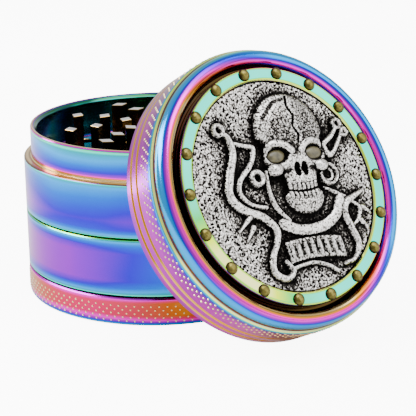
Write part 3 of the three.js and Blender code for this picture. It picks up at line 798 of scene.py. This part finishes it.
RIVETS, RIVET_RING, RIVET_START, RIVET, RIVET_TALL = 18, 24.955, 4.4, 1.35, 0.68
rivet_foot = BEZEL_TOP + 0.02
rivet_rows = [(0, rivet_foot, 0, 0, 1), (1.33, rivet_foot, 0, 0, 1), (1.38, rivet_foot + 0.08, 0, 0, 1)]
rivet_rows += [  # a dome, whose skirt, like its foot, is darkened with painted shade
    (RIVET * np.sin(a), rivet_foot + 0.1 + RIVET_TALL * np.cos(a), 0, 0, max(0.0, np.sin(a) * 2.2 - 1.25))
    for a in np.radians(np.linspace(90, 0, 9))
]
for i in range(RIVETS):
    turn = np.radians(RIVET_START + i * 360 / RIVETS)
    head = turned(rivet_rows, spokes=28)
    head["points"] = head["points"] + [RIVET_RING * np.cos(turn), RIVET_RING * np.sin(turn), 0]
    name = f"{i + 1:02d}"
    rivet = piece("rivet_head_" + name, [head], brass, leaning, sharp=50)
    fit(rivet, "lid", "rivet_metal", "rivet_" + name)

# ---- medallion and eyes ----------------------------------------------------------------------------------
# A cast silver-plated disc glued inside the bezel: a skull between ribbon scrolls over a pitted ground,
# blackened and rubbed back, so the low parts stay dark. Two small olive enamel stones are its eyes.
MEDAL, MEDAL_FACE = 22.95, 12.8  # radius, and height of the ground of the relief
GRID = 291
u = np.linspace(-1, 1, GRID)
gu, gv = np.meshgrid(u, u)
across = MEDAL * gu * np.sqrt(1 - gv**2 / 2)  # a square grid drawn out to fill the disc
up = MEDAL * gv * np.sqrt(1 - gu**2 / 2)


def mound(a, b, ca, cb, ra, rb, power=0.5):
    """1 at the centre, falling to 0 at an oval's edge: (1 - (a/ra)^2 - (b/rb)^2) to the power."""
    return np.maximum(0, 1 - ((a - ca) / ra) ** 2 - ((b - cb) / rb) ** 2) ** power


def soft_line(a, b, corners, width):
    """1 on a smooth line through the corners, falling to 0 a width away: (1 - (d / width)^2)^0.5, with d
    the distance to the nearest of the line's short stretches. Width may swell along the line."""
    corners = np.array(corners, float)
    t = np.linspace(0, len(corners) - 1, 7 * (len(corners) - 1) + 1)
    i = np.clip(t.astype(int), 0, len(corners) - 2)
    f = (t - i)[:, None]
    pad = np.concatenate([corners[:1] * 2 - corners[1:2], corners, corners[-1:] * 2 - corners[-2:-1]])
    p0, p1, p2, p3 = pad[i], pad[i + 1], pad[i + 2], pad[i + 3]
    line = 0.5 * (
        2 * p1 + (p2 - p0) * f + (2 * p0 - 5 * p1 + 4 * p2 - p3) * f**2 + (3 * p1 - p0 - 3 * p2 + p3) * f**3
    )
    wide = np.interp(t, np.linspace(0, len(corners) - 1, len(np.atleast_1d(width))), np.atleast_1d(width))
    best = np.zeros(a.shape)
    for k in range(len(line) - 1):
        p, q = line[k], line[k + 1]
        d = q - p
        w = np.clip(((a - p[0]) * d[0] + (b - p[1]) * d[1]) / max(d @ d, 1e-9), 0, 1)
        gap = np.hypot(a - p[0] - w * d[0], b - p[1] - w * d[1])
        best = np.maximum(best, 1 - (gap / (wide[k] + w * (wide[k + 1] - wide[k]))) ** 2)
    return np.sqrt(best)


def ring_line(a, b, ca, cb, radius, width):
    """1 on a circle, falling to 0 a width away."""
    return np.sqrt(np.maximum(0, 1 - ((np.hypot(a - ca, b - cb) - radius) / width) ** 2))


height = np.zeros(across.shape)
# the skull's own axes: origin between the eyes, turned 5 degrees
EYES = [(-0.33, 6.31), (9.49, 5.44)]
slope = np.arctan2(EYES[1][1] - EYES[0][1], EYES[1][0] - EYES[0][0])
mid = (np.array(EYES[0]) + np.array(EYES[1])) / 2
sx = (across - mid[0]) * np.cos(slope) + (up - mid[1]) * np.sin(slope)
sy = -(across - mid[0]) * np.sin(slope) + (up - mid[1]) * np.cos(slope)

# ribbons, curls and spikes lie under the skull
RIBBONS = [
    ([(-12.2, 13.4), (-11.2, 12.4), (-11.1, 8.8), (-13.6, 4.3), (-15.1, 0.3), (-13.0, -3.0),
      (-8.6, -5.6), (-6.4, -8.6), (-7.1, -11.2), (-9.3, -14.1), (-10.2, -17.2), (-7.8, -19.2),
      (-5.5, -18.2), (-6.6, -15.7)], [0.5, 1.0, 1.15, 1.0, 0.8, 0.9, 0.5], 1.15),
    ([(-10.2, 11.0), (-7.4, 9.9), (-5.7, 9.2), (-6.6, 7.0), (-8.3, 5.2), (-11.4, 2.9), (-12.4, 0.4),
      (-10.6, -2.4), (-7.0, -3.8)], [0.45, 0.8, 0.7, 0.5], 0.85),
    ([(-4.2, 3.6), (-4.9, -0.4), (-4.4, -4.2), (-2.2, -7.6)], [0.4, 0.7, 0.5], 0.8),
    ([(17.8, 9.6), (15.8, 8.0), (13.2, 6.6), (14.1, 4.2), (16.4, 5.6), (18.7, 8.0)], [0.5, 0.8, 0.45], 0.85),
    ([(19.0, -5.2), (16.6, -5.9), (14.0, -6.9), (12.9, -9.2), (13.5, -12.6), (13.9, -16.0), (11.8, -18.8),
      (8.6, -19.4)], [0.5, 1.0, 0.9, 0.8, 0.5], 1.1),
    ([(15.6, -6.6), (17.4, -8.4), (16.4, -10.6), (14.6, -11.8)], [0.4, 0.6, 0.4], 0.7),
    ([(9.7, -2.4), (12.0, -3.9), (14.4, -5.3)], [0.3, 0.5, 0.3], 0.7),
    ([(-11.9, -5.0), (-15.6, -7.4)], [0.75, 0.25], 0.7),
    ([(-11.7, -7.2), (-14.4, -9.7)], [0.7, 0.22], 0.65),
    ([(16.9, -11.4), (18.6, -14.2)], [0.7, 0.22], 0.65),
    ([(18.4, -8.6), (20.4, -10.6)], [0.65, 0.2], 0.6),
]  # points (across, up), half widths along the line, height
for corners, width, tall in RIBBONS:
    strand = soft_line(across, up, corners, width)
    height = np.maximum(height, tall * strand**1.6)
    crease = soft_line(across, up, corners, np.array(width) * 0.3)
    height -= 0.1 * crease * (strand > 0.9)
POCKETS = [
    (-8.3, 7.9, 1.7, 1.6, 0.9), (15.9, -1.9, 2.0, 3.6, 0.7), (-4.6, -9.3, 2.2, 1.4, 0.6),
    (-8.2, -16.4, 1.5, 1.7, 0.7), (10.9, -7.4, 1.9, 2.2, 0.7), (-7.4, -0.9, 1.4, 1.1, 0.7),
    (15.2, 6.5, 1.1, 1.6, 0.6), (-8.9, -10.4, 1.7, 2.0, 0.5), (15.1, -9.3, 0.9, 1.6, 0.7),
    (11.8, -14.9, 1.0, 2.4, 0.5), (-5.9, 5.6, 1.0, 2.2, 0.5),
]  # centre, half widths, depth of the low places between the ribbons
for ca, cb, ra, rb, deep in POCKETS:
    height -= deep * mound(across, up, ca, cb, ra, rb, 0.7) * (height < 0.5)
CURLS = [(-13.0, 14.3, 1.15, 0.5), (-7.0, 2.7, 1.4, 0.62), (18.4, 10.6, 0.95, 0.42), (19.7, 8.5, 0.8, 0.4)]
for ca, cb, radius, width in CURLS:
    inside = np.hypot(across - ca, up - cb) < radius
    height = np.where(inside, -0.5, height)
    height = np.maximum(height, 1.1 * ring_line(across, up, ca, cb, radius, width))
# a rosette of three turns beside the cheek
for radius in (0.5, 1.35, 2.2):
    petal = ring_line(across, up, 11.6 + 0.12 * radius, 0.2, radius, 0.4)
    height = np.maximum(np.where(np.hypot(across - 11.6, up - 0.2) < 2.4, height * 0.4, height), 1.15 * petal)

# a collar under the chin, a banner with a row of plain lance leaves, and an arc below it
COLLAR = [(-4.0, -8.0), (-0.8, -9.8), (2.8, -10.5), (6.9, -10.3), (10.6, -8.6), (12.9, -5.8)]
collar = soft_line(across, up, COLLAR, 1.2)
height = np.maximum(height, 0.75 * np.sqrt(collar))
banner_u = across - 2.3
banner_v = up + 0.10 * (across - 2.4) + 0.012 * (across - 2.4) ** 2 + 14.3
panel = np.clip((7.7 - np.abs(banner_u)) / 0.5, 0, 1) * np.clip((2.6 - np.abs(banner_v)) / 0.5, 0, 1)
height = np.maximum(height, 0.55 * panel)
LEAF_PITCH, LEAF_HALF = 1.9, 0.62
leaf = np.abs((banner_u + 100 * LEAF_PITCH) % LEAF_PITCH - LEAF_PITCH / 2) / LEAF_HALF
leaf = np.sqrt(np.maximum(0, 1 - leaf**2 / np.maximum(0.05, 1 - (banner_v / 2.1) ** 2)))
height += 0.5 * leaf * (np.abs(banner_v) < 2.0) * (np.abs(banner_u) < 7.0) * panel
edges = soft_line(across, up, [(-5.2, -17.6), (-2.0, -17.3), (1.0, -17.5), (4.2, -18.8), (6.4, -20.6)], 0.45)
height = np.maximum(height, 0.6 * edges)

# the skull: vault, brow, cheekbones, upper and lower jaw, blended over what lies under it
skull = 1.75 * mound(sx, sy, -0.2, 5.0, 9.2, 8.9, 0.55)
skull = np.maximum(skull, 1.6 * mound(sx, sy, 0, -0.4, 8.4, 4.2, 0.5))
skull = np.maximum(skull, 1.35 * mound(sx, sy, 0.3, -5.2, 5.6, 4.6, 0.5))
skull = np.maximum(skull, 1.15 * mound(sx, sy, 0.1, -9.2, 5.3, 4.0, 0.5))
for way in (-1, 1):
    skull = np.maximum(skull, 1.65 * mound(sx, sy, way * 6.1, -2.9, 2.1, 1.5, 0.4))
    brow = soft_line(sx, sy, [(way * 1.3, 0.8), (way * 3.2, 2.2), (way * 6.0, 2.5), (way * 8.0, 0.9)], 0.8)
    skull = np.where(skull > 0, skull + 0.4 * brow, skull)
    skull -= 1.15 * mound(sx, sy, way * 4.93, 0.1, 2.9, 2.05, 0.8) * (skull > 0)
    skull -= 1.0 * mound(sx, sy, 0.35 + way * 0.95, -3.3, 1.0, 1.7, 0.8) * (skull > 0)
    skull -= 0.75 * mound(sx, sy, way * 4.9, -6.4, 1.2, 2.3, 0.8) * (skull > 0)
    skull -= 0.5 * mound(sx, sy, way * 8.6, 1.9, 1.5, 2.4, 0.8) * (skull > 0)
crack = soft_line(sx, sy, [(1.2, 13.0), (0.4, 10.6), (1.3, 8.4), (0.5, 6.2), (1.4, 4.1), (0.9, 2.4)], 0.34)
skull -= 0.5 * crack * (skull > 0)
arch = soft_line(sx, sy, [(-6.5, 8.4), (-3.0, 11.6), (0.6, 12.6)], 0.5)
skull -= 0.18 * arch * (skull > 0)
JAW_BOW = 0.035  # how much a row of teeth bends
sag = sy - JAW_BOW * sx**2
for low, high in ((-8.0, -6.4), (-9.9, -8.3)):
    inside = (sag > low) & (sag < high) & (np.abs(sx) < 3.9)
    gap = np.abs((sx + 50) % 1.12 - 0.56)
    crown = np.sqrt(np.maximum(0, 1 - (gap / 0.52) ** 2)) * np.sqrt(
        np.maximum(0, 1 - ((sag - (low + high) / 2) / ((high - low) / 2)) ** 4)
    )
    skull = np.where(inside, skull * 0.62 + 0.62 * crown, skull)
skull -= 0.35 * (np.abs(sag + 8.15) < 0.16) * (np.abs(sx) < 3.9)
height = np.where(skull > 0.02, np.maximum(skull, height * (skull < 0.35)), height)

# the ground is pitted with round dimples about 1 mm apart, fainter on the raised work
PIT = 0.36  # radius of a dimple, which has a low lip round it
dimples = np.random.default_rng(7).uniform(-MEDAL, MEDAL, (1500, 2))
pits = np.zeros(across.shape)
for ca, cb in dimples:
    near = (np.abs(across - ca) < 0.6) & (np.abs(up - cb) < 0.6)
    d = np.hypot(across[near] - ca, up[near] - cb) / PIT
    pit = np.where(d < 1, 1 - d**2, 0) - 0.5 * np.exp(-(((d - 1.2) / 0.25) ** 2))
    pits[near] = np.maximum(pits[near], pit)
ground = np.clip(1 - height / 0.35, 0, 1) * (height > -0.1)
height -= 0.22 * pits * (0.25 + 0.75 * ground)
distance = np.hypot(across, up)
height = np.where(distance > MEDAL - 0.7, np.minimum(height, (MEDAL - distance) * 0.6), height)
height = np.clip(height, -1.0, 1.95)


def spread(values, cells):
    """A square moving average, from running sums both ways."""
    for axis in (0, 1):
        pad = [(0, 0), (0, 0)]
        pad[axis] = (cells + 1, cells)
        total = np.cumsum(np.pad(values, pad, mode="edge"), axis=axis)
        lead = np.take(total, np.arange(2 * cells + 1, total.shape[axis]), axis)
        values = (lead - np.take(total, np.arange(lead.shape[axis]), axis)) / (2 * cells + 1)
    return values


# black stays where the face lies under the mean of what is round it, and is rubbed off where it stands up
wide = spread(spread(height, 17), 9) - height
hollow = spread(spread(height, 5), 3) - height
fine = spread(height, 1) - height
patina = 0.27 + 1.25 * np.clip(wide, -0.2, 1) + 1.6 * np.clip(hollow, -0.3, 1) + 2.8 * fine
patina += 1.6 * np.clip(-0.12 - height, 0, 1) + 0.3 * (skull > 0.02) * np.clip(wide + 1.0, 0, 1)
patina = np.clip(patina, 0, 1)

index = np.arange(GRID * GRID).reshape(GRID, GRID)
quads = np.stack([index[:-1, :-1], index[:-1, 1:], index[1:, 1:], index[1:, :-1]], -1).reshape(-1, 4)
border = np.concatenate([index[0, :-1], index[:-1, -1], index[-1, :0:-1], index[:0:-1, 0]])
count, wall = GRID * GRID, len(border)
low = count + np.arange(wall)
skirt = np.stack([border, low, np.roll(low, -1), np.roll(border, -1)], -1)
top = np.stack([-up.ravel(), across.ravel(), MEDAL_FACE + height.ravel()], -1)
foot = top[border] * [1, 1, 0] + [0, 0, SEAT]
medal_shape = shape(
    np.concatenate([top, foot]),
    quads,
    skirt,
    low[::-1][None],
    film=np.concatenate([np.clip(height.ravel() / 2, 0, 1), np.zeros(wall)]),
    # the skirt round the edge goes black toward the seat: painted shade between medallion and bezel
    shade=np.concatenate([patina.ravel(), np.ones(wall)]),
)
# Silver plate darkened with sulphide and rubbed back: white metal on the high parts, soot black in the
# low ones, and a grainy cast ground that sparkles.
silver, tree = material("antiqued_silver_plate")
place = node(tree, "TexCoord").outputs["Object"]
patina_mark = node(tree, "Attribute", attribute_name="shade").outputs["Fac"]
# cast grain of about 0.35 mm, and pinholes about 0.8 mm apart
grain = node(tree, "TexNoise", {"Vector": place, "Scale": 2600.0, "Detail": 3.0}).outputs["Fac"]
cells = node(tree, "TexVoronoi", {"Vector": place, "Scale": 1150.0}).outputs["Distance"]
pin = node(tree, "MapRange", {0: cells, 1: 0.12, 2: 0.34, 3: 0.55, 4: 0.0}).outputs[0]
speck = node(tree, "MapRange", {0: grain, 1: 0.36, 2: 0.62, 3: 0.42, 4: -0.22}).outputs[0]
dark = node(tree, "Math", {0: patina_mark, 1: pin}, operation="ADD").outputs[0]
dark = node(tree, "Math", {0: dark, 1: speck}, operation="ADD", use_clamp=True).outputs[0]
PATINA = [(0.05, "#fdfaf6"), (0.26, "#b9b5b1"), (0.46, "#4a4743"), (0.7, "#12100f"), (0.9, "#050404")]
tone = ramp(tree, dark, PATINA)
rough = node(tree, "MapRange", {0: dark, 1: 0.0, 2: 1.0, 3: 0.3, 4: 0.6}).outputs[0]
bump = node(tree, "Bump", {"Height": grain, "Strength": 0.35, "Distance": 0.00012}).outputs[0]
bump = node(tree, "Bump", {"Height": cells, "Strength": 0.4, "Distance": 0.00015, "Normal": bump}).outputs[0]
shader = node(
    tree, "BsdfPrincipled", {"Base Color": tone, "Metallic": 1.0, "Roughness": rough, "Normal": bump}
)
node(tree, "OutputMaterial", {0: shader.outputs[0]})
medallion = piece("medallion_relief", [medal_shape], silver, leaning, sharp=70)
fit(medallion, "lid", "medallion_silver", "medallion")

# Glassy olive enamel, fired and slightly cloudy, with painted shade darkening its edge where it meets the
# socket.
enamel, tree = material("olive_enamel")
place = node(tree, "TexCoord").outputs["Object"]
painted_edge_shade = node(tree, "Attribute", attribute_name="shade").outputs["Fac"]
cloud = node(tree, "TexNoise", {"Vector": place, "Scale": 900.0, "Detail": 3.0}).outputs["Fac"]
tone = ramp(tree, cloud, [(0.3, "#38331c"), (0.65, "#655e3e")])
tone = node(tree, "MixRGB", {0: painted_edge_shade, 1: tone, 2: linear("#1f1d12")}).outputs[0]
shader = node(
    tree, "BsdfPrincipled", {"Base Color": tone, "Roughness": 0.34, "IOR": 1.52, "Coat Weight": 0.25}
)
node(tree, "OutputMaterial", {0: shader.outputs[0]})


def stone(ca, cb, lift, long=2.4, tall=1.5, deep=0.8):
    """An oval stone: (long cos p cos t, tall cos p sin t, deep sin p) about its centre; its poles close."""
    p = np.linspace(-np.pi / 2, np.pi / 2, 21)
    p, t = np.meshgrid(p, np.radians(np.arange(40) * 9), indexing="ij")
    a, b, h = long * np.cos(p) * np.cos(t), tall * np.cos(p) * np.sin(t), deep * np.sin(p)
    points = np.stack([-(cb + b), ca + a, lift + h], -1)
    # shade is painted shade: full over the lower half and the edge, clearing toward the top
    return shape(points, bands(*p.shape), shade=np.clip(1 - np.sin(np.clip(p, 0, 2)) * 2.2, 0, 1))


for name, (ca, cb) in zip(("left", "right"), EYES):
    near = np.hypot(across - ca, up - cb) < 0.5
    seat = MEDAL_FACE + float(height[near].mean())
    eye = piece("eye_stone_" + name, [stone(ca, cb, seat + 0.1)], enamel, leaning, sharp=90)
    fit(eye, "lid", "eye_enamel", "eye_insert_" + name)

# ---- floor, lights and camera ----------------------------------------------------------------------------
# A pale sweep and soft studio light from a bright tent, with four soft boxes for the highlights. The tent
# is brighter to the camera than to the metal, so the ground stays white and the colours stay deep.
floor_mesh = bpy.data.meshes.new("studio_floor")
reach, sunk = 6.0, -0.0002
corners = [(x * reach, y * reach, sunk) for x, y in ((-1, -1), (1, -1), (1, 1), (-1, 1))]
floor_mesh.from_pydata(corners, [], [(0, 1, 2, 3)])
# Matt white paper, which glows for the camera alone, so that it reads as an even pale ground.
paper, tree = material("white_paper_sweep")
place = node(tree, "TexCoord").outputs["Object"]
mottle = node(tree, "TexNoise", {"Vector": place, "Scale": 3.0, "Detail": 2.0}).outputs["Fac"]
tone = ramp(tree, mottle, [(0.3, "#f4f4f3"), (0.7, "#ffffff")])
seen = node(tree, "LightPath").outputs["Is Camera Ray"]
glow = node(tree, "MapRange", {0: seen, 3: 0.0, 4: 9.0}).outputs[0]
shader = node(
    tree,
    "BsdfPrincipled",
    {"Base Color": tone, "Roughness": 0.9, "Emission Color": tone, "Emission Strength": glow},
)
node(tree, "OutputMaterial", {0: shader.outputs[0]})
floor_mesh.materials.append(paper)
floor = bpy.data.objects.new("studio_floor", floor_mesh)
bpy.context.scene.collection.objects.link(floor)

world = bpy.data.worlds.new("bright_tent")
world.use_nodes = True
bpy.context.scene.world = world
tree = world.node_tree
tree.nodes.clear()
seen = node(tree, "LightPath").outputs["Is Camera Ray"]
level = node(tree, "MapRange", {0: seen, 3: 1.0, 4: 14.0}).outputs[0]
sky = node(tree, "Background", {0: linear("#ffffff"), 1: level})
node(tree, "OutputWorld", {0: sky.outputs[0]})


def soft_box(name, at, towards, size, power):
    """An area light at one point, facing another."""
    lamp = bpy.data.lights.new(name, "AREA")
    lamp.shape, lamp.size, lamp.size_y, lamp.energy = "RECTANGLE", *size, power
    holder = bpy.data.objects.new(name, lamp)
    holder.location = at
    holder.rotation_euler = (Vector(towards) - Vector(at)).to_track_quat("-Z", "Y").to_euler()
    bpy.context.scene.collection.objects.link(holder)


soft_box("key_box", (-0.35, -0.55, 0.55), (0, 0, 0.03), (0.5, 0.35), 7)
soft_box("top_box", (0.25, 0.15, 0.7), (0.02, 0, 0.03), (0.5, 0.5), 4)
soft_box("side_box", (-0.36, -0.24, 0.12), (0, 0, 0.02), (0.12, 0.4), 1.5)
soft_box("face_box", (0.365, 0.315, 0.258), (0.05, 0, 0.033), (0.36, 0.36), 0.72)

camera_data = bpy.data.cameras.new("camera")
camera_data.lens, camera_data.sensor_width = 127.76, 36
camera_data.clip_start, camera_data.clip_end = 0.01, 30
camera = bpy.data.objects.new("camera", camera_data)
stand, aim = Vector((0.27519, -0.19544, 0.1204)), Vector((0.04703, -0.02139, 0.03295))
TILT = np.radians(-0.93)  # how far the camera is turned about its own view
upright = (aim - stand).to_track_quat("-Z", "Y").to_matrix().to_4x4()
camera.matrix_world = Matrix.Translation(stand) @ upright @ Matrix.Rotation(TILT, 4, "Z")
bpy.context.scene.collection.objects.link(camera)
bpy.context.scene.camera = camera
